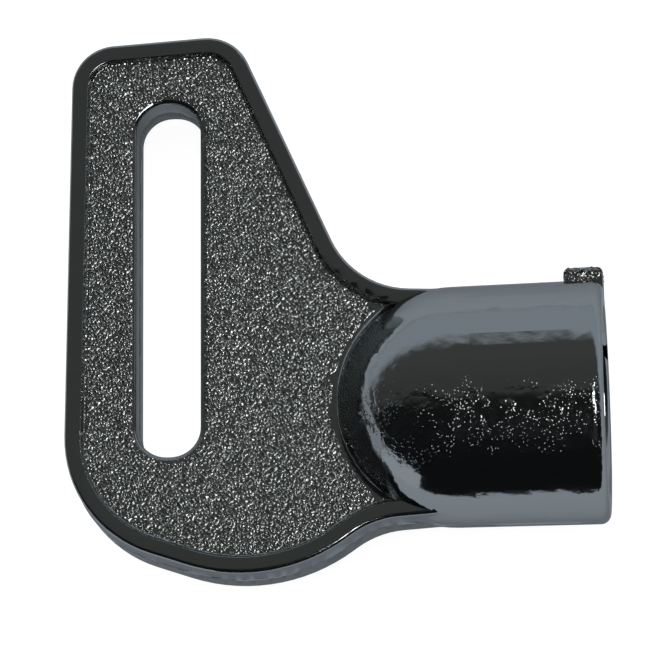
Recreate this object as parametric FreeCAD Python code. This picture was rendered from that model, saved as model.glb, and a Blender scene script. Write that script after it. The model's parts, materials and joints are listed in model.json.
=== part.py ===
"""Radiator bleed key: a one-piece zinc casting with a pressed-in steel socket.

Frame, in millimetres: the origin is the centre of the barrel's mouth.  +X runs along the
barrel's axis and out of its mouth, +Y points to the tall side of the bow, and +Z is square
to the bow's flat faces.  Both halves of the casting mirror each other about z = 0.
"""
import FreeCAD
import Part
import math
import os

V = FreeCAD.Vector
X_AXIS = V(1, 0, 0)
Z_AXIS = V(0, 0, 1)

# ---- Driving dimensions, mm and degrees ----------------------------------------------

# Socket: the square that takes the valve's spindle, in a steel insert.
valve_square = 5.0             # the spindle, across its flats
square_clearance = 0.1         # the socket is this much wider
square_corner_radius = 0.3
insert_wall = 0.594            # outside the square's corners
insert_length = 7.0
insert_lead_in = 0.4           # funnel round the square, at the mouth end
insert_nose_chamfer = 0.3      # outside, at the end that goes in first

# Bore of the barrel: a round mouth, the insert's seat and a relief hole behind it.
mouth_step = 0.3               # the mouth's radius over the insert's
mouth_bore_depth = 2.0
relief_step = 1.2              # the relief hole's radius under the insert's
relief_depth = 1.2

# Barrel: a drafted cylinder round the insert, whose closed end is half a ball.
barrel_wall = 1.8              # round the insert
end_wall = 1.54                # between the seat's far edge and the ball's surface
barrel_draft = 0.6             # degrees that the barrel widens by towards its mouth
mouth_edge_radius = 0.5        # outer edge of the mouth

# Bow: the flat grip.  Corners are where its straight sides would meet unrounded.
bow_thickness = 3.8            # across the rims
bow_back = 19.4                # back side, behind the ball's centre, on the axis
bow_back_lean = 1.8            # degrees that the back side leans in towards the top
bow_top = 19.2                 # front top corner, above the axis
bow_top_slope = 2.8            # degrees that the top falls away towards the back
bow_top_width = 8.2            # front top corner, in front of the back side
bow_bottom = 9.4               # bottom corner, below the axis
bow_bottom_front = 9.12        # bottom corner, behind the ball's centre
bow_bottom_back = 5.7          # where the bottom side meets the back side, below the axis
neck_upper = 4.85              # where the front side meets the neck, behind the ball's centre
neck_lower = 4.15              # where the bottom side meets the neck, behind the ball's centre
neck_flare = 3.0               # degrees that the neck's sides open out towards the bow
neck_sink = 0.05               # the neck's sides start this far inside the barrel's skin
back_top_round = 2.2
front_top_round = 2.3
bottom_round = 9.7
back_bottom_round = 6.3
neck_upper_round = 4.4
neck_lower_round = 4.95
longest_rounds = 0.98          # of a side, the most that its two roundings may use up

# Recess in each face of the bow, which leaves a raised rim.
rim_width = 0.8
rim_edge_radius = 0.2
recess_depth = 0.3
recess_wall_run = 0.12         # how far the recess wall slopes in
recess_edge_radius = 0.06      # where its wall meets the rim
recess_floor_radius = 0.12     # where its wall meets the floor
web_fillet = 0.4               # blend from the recess floor up to the barrel

# Key-ring slot through the bow.
slot_width = 3.2
slot_from_back = 5.04          # its middle, in front of the bow's back side
slot_from_top = 3.4            # its upper end, below the bow's top corner
slot_bottom = 2.3              # its lower end, below the axis
slot_corner_radius = 1.5       # its ends are a little squarer than half-round
slot_lean = 0.8                # degrees, the same way as the back side
slot_edge_radius = 0.25

# Gate stub: what is left of the casting gate, on the barrel at the mouth.
stub_length = 1.95
stub_width = 2.4
stub_height = 0.6              # above the barrel
stub_edge_radius = 0.3

# Small against any size here: tells an edge that is flat or at a place from one that isn't.
tiny = 1e-5

# ---- Derived values ------------------------------------------------------------------

square_across = valve_square + square_clearance
insert_radius = square_across / math.sqrt(2) + insert_wall      # line to line with its bore
mouth_bore_radius = insert_radius + mouth_step
relief_radius = insert_radius - relief_step
insert_mouth = -mouth_bore_depth
insert_seat = insert_mouth - insert_length
draft = math.radians(barrel_draft)
barrel_root_radius = insert_radius + barrel_wall                # also the ball's radius
ball_x = insert_seat + math.sqrt((barrel_root_radius - end_wall) ** 2 - insert_radius ** 2)
mouth_radius = barrel_root_radius * math.cos(draft) + math.tan(draft) * (
    barrel_root_radius * math.sin(draft) - ball_x)
stub_top = mouth_radius + stub_height
rim_level = bow_thickness / 2
floor_level = rim_level - recess_depth
# At the ball's centre, the neck's sides are just inside the line where the web fillet
# meets the barrel.
neck_half_width = barrel_root_radius * math.sqrt(
    1 - ((floor_level + web_fillet) / (barrel_root_radius + web_fillet)) ** 2) - neck_sink
neck_overlap = -ball_x / 3                 # how far the bow runs on inside the barrel
slot_length = bow_top - slot_from_top + slot_bottom
slot_height = slot_length / 2 - slot_bottom


# ---- Outline of the bow --------------------------------------------------------------

def back_x(y):
    """The bow's back side at height y."""
    return ball_x - bow_back + y * math.tan(math.radians(bow_back_lean))


def neck_y(behind):
    """Half the neck's width at a distance behind the ball's centre."""
    return neck_half_width + behind * math.tan(math.radians(neck_flare))


def half_angle_at(corners, i):
    """Half the angle between the two sides that meet at corner i."""
    here = V(*corners[i][:2])
    before = V(*corners[i - 1][:2])
    after = V(*corners[(i + 1) % len(corners)][:2])
    return (before - here).getAngle(after - here) / 2


def room_for_rounds(corners):
    """The same corners, with a rounding made smaller where a side is too short for it."""
    count = len(corners)
    reach = [corners[i][2] / math.tan(half_angle_at(corners, i)) for i in range(count)]
    shares = []
    for i in range(count):
        j = (i + 1) % count
        side = (V(*corners[j][:2]) - V(*corners[i][:2])).Length
        shares.append(min(1, longest_rounds * side / max(reach[i] + reach[j], side / 100)))
    return [(x, y, radius * min(shares[i - 1], shares[i]))
            for i, (x, y, radius) in enumerate(corners)]


def bow_corners():
    """The bow's corners anticlockwise from the bottom of the back side: x, y, rounding."""
    rise = math.tan(math.radians(bow_top_slope))
    run = math.tan(math.radians(bow_back_lean))
    front_x = back_x(bow_top) + bow_top_width
    back_top_x = (back_x(bow_top) - front_x * rise * run) / (1 - rise * run)
    back_top_y = bow_top - (front_x - back_top_x) * rise
    return room_for_rounds([
        (back_x(-bow_bottom_back), -bow_bottom_back, back_bottom_round),
        (ball_x - bow_bottom_front, -bow_bottom, bottom_round),
        (ball_x - neck_lower, -neck_y(neck_lower), neck_lower_round),
        (ball_x + neck_overlap, -neck_y(-neck_overlap), 0),
        (ball_x + neck_overlap, neck_y(-neck_overlap), 0),
        (ball_x - neck_upper, neck_y(neck_upper), neck_upper_round),
        (front_x, bow_top, front_top_round),
        (back_top_x, back_top_y, back_top_round),
    ])


def inset(corners, depth):
    """The same outline with every side moved inwards by depth."""
    count = len(corners)
    moved = []
    for i in range(count):
        before = V(*corners[i - 1][:2])
        here = V(*corners[i][:2])
        after = V(*corners[(i + 1) % count][:2])
        side_in = (here - before).normalize()
        side_out = (after - here).normalize()
        turn = side_in.x * side_out.y - side_in.y * side_out.x
        inward = V(-side_in.y, side_in.x, 0) + V(-side_out.y, side_out.x, 0)
        point = here + inward * (depth / (1 + side_in.dot(side_out)))
        radius = corners[i][2]
        if radius:
            radius = radius - math.copysign(depth, turn)
        moved.append((point.x, point.y, max(radius, 0)))
    return moved


def rounded_wire(corners, z):
    """A closed wire at height z: straight sides joined by tangent arcs."""
    count = len(corners)
    starts, middles, ends = [], [], []
    for i in range(count):
        here = V(*corners[i][:2], z)
        to_before = (V(*corners[i - 1][:2], z) - here).normalize()
        to_after = (V(*corners[(i + 1) % count][:2], z) - here).normalize()
        half_angle = half_angle_at(corners, i)
        radius = corners[i][2]
        reach = radius / math.tan(half_angle)
        bisector = (to_before + to_after).normalize()
        starts.append(here + to_before * reach)
        ends.append(here + to_after * reach)
        middles.append(here + bisector * (radius / math.sin(half_angle) - radius))
    edges = []
    for i in range(count):
        if corners[i][2]:
            edges.append(Part.Arc(starts[i], middles[i], ends[i]).toShape())
        edges.append(Part.LineSegment(ends[i], starts[(i + 1) % count]).toShape())
    return Part.Wire(edges)


def prism(corners, half_height):
    """The outline as a solid, from -half_height to +half_height."""
    face = Part.Face(rounded_wire(corners, -half_height))
    return face.extrude(Z_AXIS * (2 * half_height))


def edges_at(shape, level):
    """The edges that lie flat at z = level or z = -level."""
    return [edge for edge in shape.Edges
            if edge.BoundBox.ZLength < tiny and abs(abs(edge.BoundBox.ZMin) - level) < tiny]


# ---- Casting -------------------------------------------------------------------------

def barrel_blank():
    """The barrel and its ball end, solid, with the mouth's outer edge still sharp."""
    tangent = V(ball_x - barrel_root_radius * math.sin(draft),
                barrel_root_radius * math.cos(draft), 0)
    half_turn = (math.pi + math.pi / 2 + draft) / 2
    middle = V(ball_x + barrel_root_radius * math.cos(half_turn),
               barrel_root_radius * math.sin(half_turn), 0)
    tip = V(ball_x - barrel_root_radius, 0, 0)
    mouth = V(0, mouth_radius, 0)
    profile = Part.Wire([
        Part.Arc(tip, middle, tangent).toShape(),
        Part.LineSegment(tangent, mouth).toShape(),
        Part.LineSegment(mouth, V(0, 0, 0)).toShape(),
        Part.LineSegment(V(0, 0, 0), tip).toShape(),
    ])
    return Part.Face(profile).revolve(V(0, 0, 0), X_AXIS, 360)


def barrel():
    """The barrel with its mouth's outer edge rounded."""
    blank = barrel_blank()
    rims = [edge for edge in blank.Edges
            if edge.BoundBox.XLength < tiny and abs(edge.BoundBox.XMin) < tiny]
    return blank.makeFillet(mouth_edge_radius, rims)


def web():
    """The floor of the two recesses, blended into the barrel and cut to the bow's outline."""
    reach = 2 * (bow_back + bow_top)
    slab = Part.makeBox(reach, 2 * reach, 2 * floor_level,
                        V(ball_x + neck_overlap - reach, -reach, -floor_level))
    joined = slab.fuse(barrel_blank())
    seams = [edge for edge in edges_at(joined, floor_level)
             if edge.BoundBox.XMax > ball_x - 2 * barrel_root_radius
             and edge.BoundBox.YLength < 4 * barrel_root_radius
             and edge.BoundBox.XLength > tiny]
    blended = joined.makeFillet(web_fillet, seams)
    return blended.common(prism(bow_corners(), floor_level + 2 * web_fillet))


def recess(side):
    """The space above (side = 1) or below (side = -1) the recess floor."""
    lower = rounded_wire(inset(bow_corners(), rim_width + recess_wall_run),
                         side * floor_level)
    upper = rounded_wire(inset(bow_corners(), rim_width - recess_wall_run),
                         side * (rim_level + recess_depth))
    return Part.makeLoft([lower, upper], True, True)


def edges_along(shape, depth, level):
    """The shape's edges that follow the outline inset by depth, at z = level and -level."""
    wires = [rounded_wire(inset(bow_corners(), depth), side * level) for side in (1, -1)]
    found = []
    for edge in edges_at(shape, level):
        middle = Part.Vertex(edge.valueAt((edge.FirstParameter + edge.LastParameter) / 2))
        if min(middle.distToShape(wire)[0] for wire in wires) < tiny:
            found.append(edge)
    return found


def rimmed_plate():
    """The bow's flat plate with rounded rims and a recess in each face."""
    plate = prism(bow_corners(), rim_level)
    plate = plate.makeFillet(rim_edge_radius, edges_at(plate, rim_level))
    plate = plate.cut([recess(1), recess(-1)])
    floor_edges = edges_along(plate, rim_width + recess_wall_run, floor_level)
    plate = plate.makeFillet(recess_floor_radius, floor_edges)
    return plate.makeFillet(recess_edge_radius, edges_along(plate, rim_width, rim_level))


def slot_corners():
    """The key-ring slot's four corners, anticlockwise: x, y, rounding."""
    lean = math.radians(slot_lean)
    middle_x = back_x(slot_height) + slot_from_back
    corners = []
    for across, along in ((-1, -1), (1, -1), (1, 1), (-1, 1)):
        u = across * slot_width / 2
        v = along * slot_length / 2
        corners.append((middle_x + u * math.cos(lean) + v * math.sin(lean),
                        slot_height - u * math.sin(lean) + v * math.cos(lean),
                        slot_corner_radius))
    return corners


def with_slot(shape):
    """The shape with the key-ring slot cut through it and the slot's edges rounded."""
    tool = prism(slot_corners(), bow_thickness)
    shape = shape.cut(tool)
    box = tool.BoundBox
    box.enlarge(slot_edge_radius)
    rims = [edge for edge in edges_at(shape, floor_level) if box.isInside(edge.BoundBox)]
    return shape.makeFillet(slot_edge_radius, rims)


def gate_stub():
    """The stub of the casting gate, its three upper edges rounded."""
    root = mouth_radius / 2
    block = Part.makeBox(stub_length, stub_top - root, stub_width,
                         V(-stub_length, root, -stub_width / 2))
    upper = [edge for edge in block.Edges
             if edge.BoundBox.YMin > stub_top - tiny
             or (edge.BoundBox.YLength > tiny and edge.BoundBox.XMax < -stub_length / 2)]
    return block.makeFillet(stub_edge_radius, upper)


def stepped_bore():
    """The round mouth, the insert's bore and the relief hole behind it, as one cutter."""
    mouth = Part.makeCylinder(mouth_bore_radius, mouth_bore_depth + mouth_radius,
                              V(-mouth_bore_depth, 0, 0), X_AXIS)
    seat = Part.makeCylinder(insert_radius, insert_length, V(insert_seat, 0, 0), X_AXIS)
    relief = Part.makeCylinder(relief_radius, relief_depth,
                               V(insert_seat - relief_depth, 0, 0), X_AXIS)
    return mouth.fuse([seat, relief]).removeSplitter()


def cast_body():
    """The whole casting."""
    solid = web().fuse([rimmed_plate(), barrel(), gate_stub()]).removeSplitter()
    solid = with_slot(solid)
    return solid.cut(stepped_bore())


# ---- Insert --------------------------------------------------------------------------

def square_cutter(across, x, depth):
    """A square prism with rounded corners, from x back by depth."""
    half = across / 2
    block = Part.makeBox(depth, across, across, V(x - depth, -half, -half))
    corners = [edge for edge in block.Edges if edge.BoundBox.XLength > tiny]
    return block.makeFillet(square_corner_radius, corners)


def lead_in():
    """The four-sided funnel at the socket's mouth."""
    wires = []
    for x, across in ((insert_mouth - insert_lead_in, square_across),
                      (insert_mouth + insert_lead_in, square_across + 4 * insert_lead_in)):
        half = across / 2
        points = [V(x, -half, -half), V(x, half, -half), V(x, half, half), V(x, -half, half)]
        wires.append(Part.makePolygon(points + points[:1]))
    funnel = Part.makeLoft(wires, True, True)
    bar = Part.makeCylinder(square_across / math.sqrt(2), 4 * insert_lead_in,
                            V(insert_mouth - 2 * insert_lead_in, 0, 0), X_AXIS)
    return funnel.common(bar)


def socket_insert():
    """The steel sleeve with the square socket through it."""
    sleeve = Part.makeCylinder(insert_radius, insert_length, V(insert_seat, 0, 0), X_AXIS)
    nose = [edge for edge in sleeve.Edges if edge.BoundBox.XMax < insert_seat + tiny]
    sleeve = sleeve.makeChamfer(insert_nose_chamfer, nose)
    socket = square_cutter(square_across, insert_mouth + 1, insert_length + 2)
    return sleeve.cut([socket, lead_in()])


# ---- Output --------------------------------------------------------------------------

nodes = {"cast_body": cast_body, "socket_insert": socket_insert}
os.makedirs("parts", exist_ok=True)
for name, make in nodes.items():
    shape = make()
    box = shape.BoundBox
    print(name, "valid" if shape.isValid() else "NOT VALID", len(shape.Solids), "solid(s)",
          len(shape.Faces), "faces", round(shape.Volume, 2), "mm3",
          [round(value, 3) for value in
           (box.XMin, box.YMin, box.ZMin, box.XMax, box.YMax, box.ZMax)])
    Part.Compound(shape.Solids).exportStep("parts/" + name + ".step")
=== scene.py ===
"""Radiator bleed key lying flat: a plated zinc die casting with a pressed-in steel socket.

Metres, in the CAD frame: the origin is the centre of the barrel's mouth, +X runs out of the
mouth along the barrel, and +Y points to the tall side of the bow.
"""
import bpy
import json
import math
from mathutils import Matrix, Vector, noise

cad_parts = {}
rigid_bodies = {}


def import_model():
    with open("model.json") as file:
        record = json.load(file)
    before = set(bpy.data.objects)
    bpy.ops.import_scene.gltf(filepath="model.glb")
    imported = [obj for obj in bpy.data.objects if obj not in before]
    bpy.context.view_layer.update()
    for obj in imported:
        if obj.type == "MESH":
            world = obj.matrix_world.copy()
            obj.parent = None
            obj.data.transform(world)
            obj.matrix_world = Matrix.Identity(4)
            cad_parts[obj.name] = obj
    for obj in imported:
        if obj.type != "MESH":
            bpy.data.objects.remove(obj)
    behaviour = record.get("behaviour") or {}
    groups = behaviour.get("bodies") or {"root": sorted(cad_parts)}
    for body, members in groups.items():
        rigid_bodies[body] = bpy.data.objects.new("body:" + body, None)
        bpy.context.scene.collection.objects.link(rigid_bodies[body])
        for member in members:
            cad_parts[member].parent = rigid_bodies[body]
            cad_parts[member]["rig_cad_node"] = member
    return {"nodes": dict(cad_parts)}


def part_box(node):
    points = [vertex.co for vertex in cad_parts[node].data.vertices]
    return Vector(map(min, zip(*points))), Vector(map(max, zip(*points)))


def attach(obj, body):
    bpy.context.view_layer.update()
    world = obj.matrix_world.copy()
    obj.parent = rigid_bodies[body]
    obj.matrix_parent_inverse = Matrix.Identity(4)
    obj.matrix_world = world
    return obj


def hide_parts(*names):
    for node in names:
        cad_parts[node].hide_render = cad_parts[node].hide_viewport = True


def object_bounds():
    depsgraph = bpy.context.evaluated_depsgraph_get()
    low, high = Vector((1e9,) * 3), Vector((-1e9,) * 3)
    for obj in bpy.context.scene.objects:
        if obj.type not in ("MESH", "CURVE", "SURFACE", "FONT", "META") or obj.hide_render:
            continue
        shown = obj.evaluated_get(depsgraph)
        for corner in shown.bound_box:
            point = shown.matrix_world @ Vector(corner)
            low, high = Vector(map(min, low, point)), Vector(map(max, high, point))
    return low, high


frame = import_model()
cad_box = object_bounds()

MM = 0.001

# ---- The casting's own sizes, in millimetres -------------------------------------------

FLOOR_LEVEL = 1.6              # recess floors, above and below the parting plane
RIM_LEVEL = 1.9
BALL_X = -7.5                  # centre of the barrel's ball end
WEB_EDGE = 6.08                # where its web fillet meets the recess floor, from that centre
MOUTH_BORE = 4.5               # radius
MOUTH_EDGE = 0.6               # its outer edge is rounded within this of the mouth
STUB_LENGTH = 1.95
STUB_WIDTH = 2.4
BARREL_RADIUS = 6.0

# ---- Detail that the casting's skin gets here, in millimetres --------------------------

WELD = 0.0005                  # points nearer than this are one
LEVEL_SLACK = 0.004            # a face this near a level lies on it
SMOOTH_ANGLE = 50              # degrees; sharper edges stay sharp
GRID = 0.75                    # spacing of the cuts that divide its long faces
GRAIN_CUTS = 5                 # further cuts in each of those cells on a recess floor
GRAIN_WIDTH = 0.3              # coarse grain of the recess floors
GRAIN_HEIGHT = 0.03
RIDGE_HALF_WIDTH = 0.08        # parting line, trimmed flash
RIDGE_HEIGHT = 0.035
RIDGE_LUMP = 0.9
RIDGE_UNEVEN = 0.9             # share of its height that it gains or loses along its way
MOUTH_BEVEL = 0.28             # inner edge of the mouth
WALL_GRAIN = 0.55              # share of the floor's grain on the walls round it
STUB_GRAIN = 0.8               # share of the floor's grain on the gate stub
STUB_LUMP = 0.45               # its broken skin
STUB_ROUGHNESS = 0.09

cast_low, cast_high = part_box("cast_body")
key_low, key_high = cad_box
table_z = cast_low.z


def linear(hex_colour):
    """An sRGB hex colour as linear red, green, blue and alpha."""
    parts = [int(hex_colour[i:i + 2], 16) / 255 for i in (1, 3, 5)]
    return [c / 12.92 if c <= 0.04045 else ((c + 0.055) / 1.055) ** 2.4 for c in parts] + [1]


def per_mm(size):
    """The scale of a pattern on Object coordinates whose features are size millimetres."""
    return 1 / (size * MM)


def add(tree, kind, inputs=(), **settings):
    """Adds a node with its settings; each input takes a value or another node's output."""
    made = tree.nodes.new("ShaderNode" + kind)
    for key, value in settings.items():
        setattr(made, key, value)
    for key, value in dict(inputs).items():
        socket = made.inputs[key]
        if isinstance(value, bpy.types.NodeSocket):
            tree.links.new(value, socket)
        else:
            socket.default_value = value
    return made


def new_material(name):
    """An empty node material and its tree."""
    material = bpy.data.materials.new(name)
    material.use_nodes = True
    material.node_tree.nodes.clear()
    return material, material.node_tree


# ---- Materials -------------------------------------------------------------------------

def plated_zinc():
    """Bright nickel and chrome plate over die-cast zinc.

    The plate mirrors its surroundings and follows the casting's skin: slow waves, pits and
    nicks on the polished outside, and a fine sandy grain on the floors of the recesses, whose
    relief catches the lamps. On those floors glints are also painted: random grains get a
    lighter plate, lightest at their middle, which stands in for the sparkle of each grain.
    """
    material, tree = new_material("bright_plated_zinc_casting")
    place = add(tree, "TexCoord").outputs["Object"]
    grain = add(tree, "Attribute", attribute_name="grain").outputs["Fac"]
    parts = add(tree, "SeparateXYZ", {0: place})

    waves = add(tree, "TexNoise", {"Vector": place, "Scale": per_mm(1.8), "Detail": 2.0})
    bump = add(tree, "Bump", {"Height": waves.outputs["Fac"], "Distance": 0.05 * MM})
    ripple = add(tree, "TexNoise", {"Vector": place, "Scale": per_mm(0.4), "Detail": 3.0})
    bump = add(tree, "Bump", {"Height": ripple.outputs["Fac"], "Distance": 0.008 * MM,
                              "Normal": bump.outputs["Normal"]})

    # Nicks along the barrel's crown, where keys lie and rub against each other.
    cells = add(tree, "TexVoronoi", {"Vector": place, "Scale": per_mm(0.15)})
    dents = add(tree, "MapRange", {"Value": cells.outputs["Distance"], "From Max": 0.35},
                interpolation_type="SMOOTHSTEP")
    clusters = add(tree, "TexNoise", {"Vector": place, "Scale": per_mm(1.1), "Detail": 4.0})
    worn = add(tree, "MapRange", {"Value": clusters.outputs["Fac"], "From Min": 0.4,
                                  "From Max": 0.58})
    pits = add(tree, "Math", {0: dents.outputs[0], 1: worn.outputs[0]}, operation="MULTIPLY")
    aside = add(tree, "Math", {0: parts.outputs["Y"], 1: 1.8 * MM}, operation="ADD")
    aside = add(tree, "Math", {0: aside.outputs[0]}, operation="ABSOLUTE")
    crown = add(tree, "MapRange", {"Value": aside.outputs[0], "From Min": 2.4 * MM,
                                   "From Max": 1.4 * MM})
    above = add(tree, "MapRange", {"Value": parts.outputs["Z"], "From Min": 3.8 * MM,
                                   "From Max": 4.4 * MM})
    crown = add(tree, "Math", {0: crown.outputs[0], 1: above.outputs[0]}, operation="MULTIPLY")
    pits = add(tree, "Math", {0: pits.outputs[0], 1: crown.outputs[0]}, operation="MULTIPLY")
    bump = add(tree, "Bump", {"Height": pits.outputs[0], "Distance": 0.022 * MM,
                              "Normal": bump.outputs["Normal"]})

    # Sand grains: rounded bumps of uneven size, each with its own glint.
    shifted = add(tree, "TexNoise", {"Vector": place, "Scale": per_mm(0.3), "Detail": 2.0})
    shifted = add(tree, "VectorMath", {0: shifted.outputs["Color"],
                                       1: (0.12 * MM, 0.12 * MM, 0.12 * MM)},
                  operation="MULTIPLY")
    shifted = add(tree, "VectorMath", {0: shifted.outputs[0], 1: place}, operation="ADD")
    grains = add(tree, "TexVoronoi", {"Vector": shifted.outputs[0], "Scale": per_mm(0.125)},
                 feature="SMOOTH_F1")
    sand = add(tree, "MapRange", {"Value": grains.outputs["Distance"], "From Min": 0.75,
                                  "From Max": 0.05})
    sand_height = add(tree, "Math", {0: sand.outputs[0], 1: grain}, operation="MULTIPLY")
    bump = add(tree, "Bump", {"Height": sand_height.outputs[0], "Distance": 0.052 * MM,
                              "Normal": bump.outputs["Normal"]})

    # Painted glint: random grains get a lighter plate, lightest at their middle, standing in for
    # the sparkle of each grain.
    glint_pick = add(tree, "SeparateXYZ", {0: grains.outputs["Color"]})
    glint_pick = add(tree, "MapRange", {"Value": glint_pick.outputs["X"], "From Min": 0.3,
                                   "From Max": 0.8})
    painted_glint = add(tree, "Math", {0: sand.outputs[0], 1: glint_pick.outputs[0]},
                operation="MULTIPLY")
    # The painted glint lifts the grain's plate colour towards white here.
    glint_tone = add(tree, "MixRGB", {"Fac": painted_glint.outputs[0], "Color1": linear("#A4A7A5"),
                                "Color2": linear("#FFFFFF")})
    colour = add(tree, "MixRGB", {"Fac": grain, "Color1": linear("#C3C6C8"),
                                  "Color2": glint_tone.outputs[0]})
    rough = add(tree, "MapRange", {"Value": grain, "To Min": 0.09, "To Max": 0.25})
    shader = add(tree, "BsdfPrincipled", {
        "Base Color": colour.outputs[0], "Metallic": 1.0, "Roughness": rough.outputs[0],
        "Specular Tint": linear("#C8C8C8"), "Normal": bump.outputs["Normal"]})
    add(tree, "OutputMaterial", {"Surface": shader.outputs[0]})
    return material


def turned_steel():
    """Turned and broached free-cutting steel: fine rings, duller than the plate around it."""
    material, tree = new_material("turned_broached_steel")
    place = add(tree, "TexCoord").outputs["Object"]
    streaks = add(tree, "Mapping", {"Vector": place, "Scale": (1.0, 0.08, 0.08)})
    rings = add(tree, "TexNoise", {"Vector": streaks.outputs[0], "Scale": per_mm(0.12),
                                   "Detail": 2.0})
    bump = add(tree, "Bump", {"Height": rings.outputs["Fac"], "Distance": 0.01 * MM})
    colour = add(tree, "MixRGB", {"Fac": rings.outputs["Fac"], "Color1": linear("#A29F9A"),
                                  "Color2": linear("#C2BFB8")})
    shader = add(tree, "BsdfPrincipled", {
        "Base Color": colour.outputs[0], "Metallic": 1.0, "Roughness": 0.32,
        "Normal": bump.outputs["Normal"]})
    add(tree, "OutputMaterial", {"Surface": shader.outputs[0]})
    return material


# ---- Plated casting --------------------------------------------------------------------

def copy_of(node_name, name):
    """A copy of a CAD node with its own welded mesh, active and in edit mode."""
    node = frame["nodes"][node_name]
    bpy.ops.object.select_all(action="DESELECT")
    piece = node.copy()
    piece.data = node.data.copy()
    piece.name = name
    del piece["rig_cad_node"]
    piece.parent = None
    bpy.context.scene.collection.objects.link(piece)
    piece.select_set(True)
    bpy.context.view_layer.objects.active = piece
    bpy.ops.mesh.customdata_custom_splitnormals_clear()
    bpy.ops.object.mode_set(mode="EDIT")
    bpy.ops.mesh.select_all(action="SELECT")
    bpy.ops.mesh.remove_doubles(threshold=WELD * MM)
    bpy.ops.mesh.dissolve_limited(angle_limit=math.radians(0.3))
    return piece


def select_faces(piece, wanted):
    """Selects the faces for which wanted(centre in mm, normal) is true; edit mode on return."""
    bpy.ops.object.mode_set(mode="EDIT")
    bpy.ops.mesh.select_mode(type="FACE")
    bpy.ops.mesh.select_all(action="DESELECT")
    bpy.ops.object.mode_set(mode="OBJECT")
    for face in piece.data.polygons:
        face.select = bool(wanted(face.center / MM, face.normal))
    bpy.ops.object.mode_set(mode="EDIT")


def cut_across(axis, place):
    """Cuts the whole mesh with a plane square to an axis, at a place in mm."""
    normal = Vector((0, 0, 0))
    normal[axis] = 1
    bpy.ops.mesh.select_all(action="SELECT")
    bpy.ops.mesh.bisect(plane_co=normal * (place * MM), plane_no=normal, threshold=WELD * MM)


def on_recess_floor(centre, normal):
    """True on the grained floors of the two recesses."""
    outside_web = math.hypot(centre.x - BALL_X, centre.y) > WEB_EDGE
    return abs(abs(centre.z) - FLOOR_LEVEL) < LEVEL_SLACK and abs(normal.z) > 0.999 and outside_web


def on_stub(centre, normal):
    """True on the gate stub's faces."""
    return (centre.y > BARREL_RADIUS + 0.12 and centre.x > -STUB_LENGTH - 0.05
            and abs(centre.z) < STUB_WIDTH / 2 + 0.05)


def grid_cuts():
    """Divides long faces evenly, so that the skin can take its own relief."""
    for axis in (0, 1):
        low = math.ceil(key_low[axis] / MM / GRID)
        high = math.floor(key_high[axis] / MM / GRID)
        for i in range(low, high + 1):
            cut_across(axis, (i + 0.31) * GRID)
    for level in (-RIDGE_HALF_WIDTH, 0, RIDGE_HALF_WIDTH):
        cut_across(2, level)


def parting_line(piece):
    """Raises the trimmed flash where the die's halves met, a little unevenly."""
    for vertex in piece.data.vertices:
        x, y, z = vertex.co / MM
        in_bore = math.hypot(y, z) < MOUTH_BORE + 0.05 and x > BALL_X - 3
        if abs(z) < WELD and not in_bore and x < -MOUTH_EDGE:
            lump = noise.noise(vertex.co / MM / RIDGE_LUMP)
            out = Vector((vertex.normal.x, vertex.normal.y, 0))
            if out.length > 0.5:
                vertex.co += out.normalized() * (RIDGE_HEIGHT * (1 + RIDGE_UNEVEN * lump) * MM)


def recess_walls(mesh, foot):
    """The vertices of the walls round the recess floors, found from their foot upwards."""
    faces = []
    for face in mesh.polygons:
        levels = [abs(mesh.vertices[i].co.z) / MM for i in face.vertices]
        outside_web = math.hypot(face.center.x / MM - BALL_X, face.center.y / MM) > WEB_EDGE
        if (min(levels) > FLOOR_LEVEL - LEVEL_SLACK and max(levels) < RIM_LEVEL - LEVEL_SLACK
                and outside_web and not on_recess_floor(face.center / MM, face.normal)):
            faces.append(set(face.vertices))
    reached = set(foot)
    found = set()
    for _ in range(8):
        for corners in faces:
            if corners & reached:
                found |= corners
        reached |= found
    return found


def sand_floor(piece):
    """Gives the recess floors their coarse grain as real relief, and marks them for the skin."""
    mesh = piece.data
    inner = set()
    edge = set()
    for face in mesh.polygons:
        target = inner if on_recess_floor(face.center / MM, face.normal) else edge
        target.update(face.vertices)
    attribute = mesh.attributes.new("grain", "FLOAT", "POINT")
    for i in recess_walls(mesh, inner & edge):
        attribute.data[i].value = WALL_GRAIN
    inner -= edge
    for i in inner:
        attribute.data[i].value = 1.0
    for i in inner:
        vertex = mesh.vertices[i]
        lump = noise.fractal(vertex.co / MM / GRAIN_WIDTH, 0.7, 2.0, 2)
        vertex.co.z += math.copysign(lump * GRAIN_HEIGHT * MM, vertex.co.z)


def rough_stub(piece):
    """Breaks up the gate stub's faces."""
    mesh = piece.data
    chosen = set()
    for face in mesh.polygons:
        if on_stub(face.center / MM, face.normal):
            chosen.update(face.vertices)
    for i in chosen:
        mesh.attributes["grain"].data[i].value = STUB_GRAIN
        vertex = mesh.vertices[i]
        lump = noise.fractal(vertex.co / MM / STUB_LUMP, 0.8, 2.0, 3)
        inward = min(0, lump - 0.1)
        vertex.co += vertex.normal * (inward * STUB_ROUGHNESS * MM)


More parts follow.
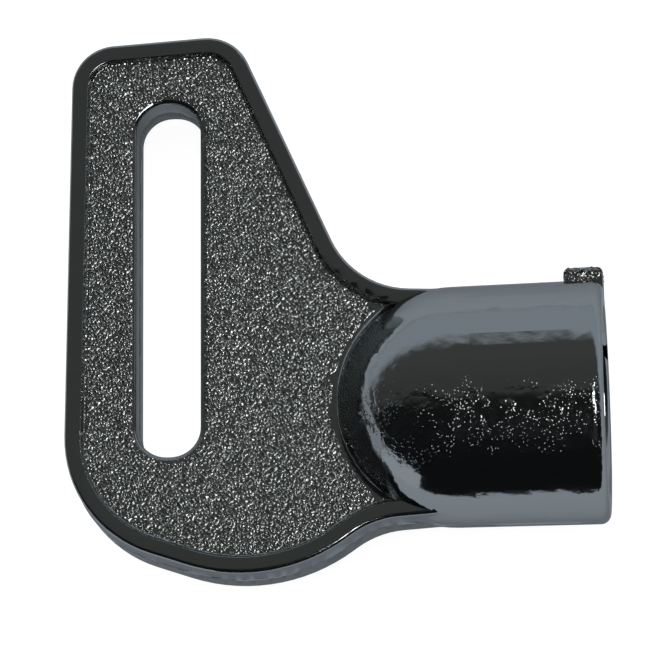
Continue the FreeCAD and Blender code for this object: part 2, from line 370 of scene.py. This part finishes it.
def plated_casting():
    """The casting with its parting line, recess grain, broken stub and eased mouth."""
    piece = copy_of("cast_body", "plated_casting")
    grid_cuts()
    bpy.ops.mesh.select_mode(type="EDGE")
    bpy.ops.mesh.select_all(action="DESELECT")
    bpy.ops.object.mode_set(mode="OBJECT")
    for edge in piece.data.edges:
        ends = [piece.data.vertices[i].co / MM for i in edge.vertices]
        edge.select = all(abs(end.x) < 0.002 and abs(math.hypot(end.y, end.z) - MOUTH_BORE) < 0.02
                          for end in ends)
    bpy.ops.object.mode_set(mode="EDIT")
    bpy.ops.mesh.bevel(offset=MOUTH_BEVEL * MM, segments=3, affect="EDGES")
    select_faces(piece, on_recess_floor)
    bpy.ops.mesh.subdivide(number_cuts=GRAIN_CUTS)
    select_faces(piece, on_stub)
    bpy.ops.mesh.subdivide(number_cuts=3)
    bpy.ops.object.mode_set(mode="OBJECT")
    parting_line(piece)
    sand_floor(piece)
    rough_stub(piece)
    bpy.ops.object.shade_smooth_by_angle(angle=math.radians(SMOOTH_ANGLE))
    skin = piece.modifiers.new("skin", "WEIGHTED_NORMAL")
    skin.keep_sharp = True
    bpy.ops.object.modifier_apply(modifier=skin.name)
    piece.data.materials.clear()
    piece.data.materials.append(plated_zinc())
    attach(piece, "root")
    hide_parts("cast_body")


# ---- Studio ----------------------------------------------------------------------------

def hide_except(thing, *kinds):
    """The thing shows only to these kinds of ray."""
    for kind in ("camera", "diffuse", "glossy", "shadow", "transmission", "volume_scatter"):
        setattr(thing, "visible_" + kind, kind in kinds)


def surroundings():
    """A pale wall behind that runs down past the key, dark overhead and darkest in front."""
    scene = bpy.context.scene
    scene.world = bpy.data.worlds.new("studio")
    scene.world.use_nodes = True
    tree = scene.world.node_tree
    tree.nodes.clear()
    direction = add(tree, "TexCoord").outputs["Generated"]
    facing = Vector((0.1, 0.6, -0.8)).normalized()
    wall = add(tree, "VectorMath", {0: direction, 1: facing}, operation="DOT_PRODUCT")
    wall_share = add(tree, "MapRange", {"Value": wall.outputs["Value"], "From Min": -0.1,
                                        "From Max": 0.13}, interpolation_type="SMOOTHSTEP")
    parts = add(tree, "SeparateXYZ", {0: direction})
    across = add(tree, "MapRange", {"Value": parts.outputs["Y"], "From Min": -1.0,
                                    "From Max": 1.0})
    ramp = add(tree, "ValToRGB", {"Fac": across.outputs[0]})
    stops = [(0.0, "#090B0A"), (0.2, "#101211"), (0.44, "#181A19"), (0.48, "#232524"),
             (0.505, "#3E403E"), (0.8, "#474946")]
    elements = ramp.color_ramp.elements
    for _ in stops[2:]:
        elements.new(0.5)
    for element, (at, colour) in zip(elements, stops):
        element.position = at
        element.color = linear(colour)
    mixed = add(tree, "MixRGB", {"Fac": wall_share.outputs[0], "Color1": ramp.outputs[0],
                                 "Color2": (0.285, 0.325, 0.355, 1)})
    background = add(tree, "Background", {"Color": mixed.outputs[0], "Strength": 1.0})
    add(tree, "OutputWorld", {"Surface": background.outputs[0]})


def glowing_face(thing, colour, roughness, light, glow):
    """Gives a stage object a dull face that also shines by itself."""
    material, tree = new_material(thing.name + "_face")
    shader = add(tree, "BsdfPrincipled", {"Base Color": linear(colour), "Roughness": roughness,
                                          "Emission Color": linear(light),
                                          "Emission Strength": glow})
    add(tree, "OutputMaterial", {"Surface": shader.outputs[0]})
    thing.data.materials.append(material)


def ground(name, drop, colour, glow):
    """A wide flat surface, drop metres below the key's lowest point."""
    bpy.ops.mesh.primitive_plane_add(size=4, location=(0, 0, table_z - drop))
    sheet = bpy.context.object
    sheet.name = name
    glowing_face(sheet, colour, 0.8, "#FFFFFF", glow)
    return sheet


def card(name, centre, width, height, turn, colour, glow):
    """An upright card that shows only in the plating; turn is in degrees about Z."""
    bpy.ops.mesh.primitive_plane_add(size=1, location=centre)
    made = bpy.context.object
    made.name = name
    made.scale = (width, height, 1)
    made.rotation_euler = (math.radians(90), 0, math.radians(turn))
    glowing_face(made, colour, 1.0, "#DDE6EE", glow)
    hide_except(made, "glossy")


def lamp(name, toward, distance, width, length, power, **visibility):
    """A flat lamp in a direction from the middle of the key, facing it; its length runs in
    the plane of that direction and the Y axis."""
    data = bpy.data.lights.new(name, "AREA")
    data.shape = "RECTANGLE"
    data.size = width
    data.size_y = length
    data.energy = power
    made = bpy.data.objects.new(name, data)
    direction = Vector(toward).normalized()
    side = Vector((0, 1, 0)).cross(direction).normalized()
    turn = Matrix((side, direction.cross(side), direction)).transposed()
    place = (key_low + key_high) / 2 + direction * distance
    made.matrix_world = Matrix.Translation(place) @ turn.to_4x4()
    bpy.context.scene.collection.objects.link(made)
    for key, value in visibility.items():
        setattr(made, key, value)


def camera():
    """A long lens that looks down on the key, a little from its right and its low side."""
    data = bpy.data.cameras.new("camera")
    data.sensor_width = 36
    data.lens = 300.9
    data.clip_start = 0.01
    data.clip_end = 10
    made = bpy.data.objects.new("camera", data)
    target = Vector((-13.479, 3.922, 0)) * MM
    back = Vector((math.tan(math.radians(4.5)), -math.tan(math.radians(13)), 1)).normalized()
    up = Matrix.Rotation(math.radians(-1.16), 3, back) @ Vector((0, 1, 0))
    right = up.cross(back).normalized()
    turn = Matrix((right, back.cross(right), back)).transposed()
    made.matrix_world = Matrix.Translation(target + back * 0.28) @ turn.to_4x4()
    bpy.context.scene.collection.objects.link(made)
    bpy.context.scene.camera = made


# ---- The key and its stage -------------------------------------------------------------

plated_casting()
insert = frame["nodes"]["socket_insert"]
insert.data.materials.clear()
insert.data.materials.append(turned_steel())
surroundings()
# The white table shows and lights the key, and its plating mirrors the grey paper instead.
hide_except(ground("table_top", 0, "#646464", 0.93), "camera", "diffuse", "transmission")
hide_except(ground("grey_paper", 0.02 * MM, "#696F74", 0.0), "glossy")
card("black_flag", (0, -40 * MM, table_z + 50 * MM), 0.4, 0.1, 0, "#050505", 0)
card("low_card", (-75 * MM, -35 * MM, table_z + 7 * MM), 0.12, 0.014, -65, "#050505", 0.36)
card("low_strip", (-36 * MM, -33 * MM, table_z + 6 * MM), 0.03, 0.012, -42, "#050505", 0.5)
lamp("overhead_softbox", (0, 0.1, 1), 0.8, 0.8, 0.8, 14.0, visible_glossy=False)
lamp("right_tube", (0.29, -0.33, 0.91), 0.6, 0.14, 0.45, 1.0, visible_diffuse=False)
camera()
bpy.context.scene.view_settings.view_transform = "Standard"
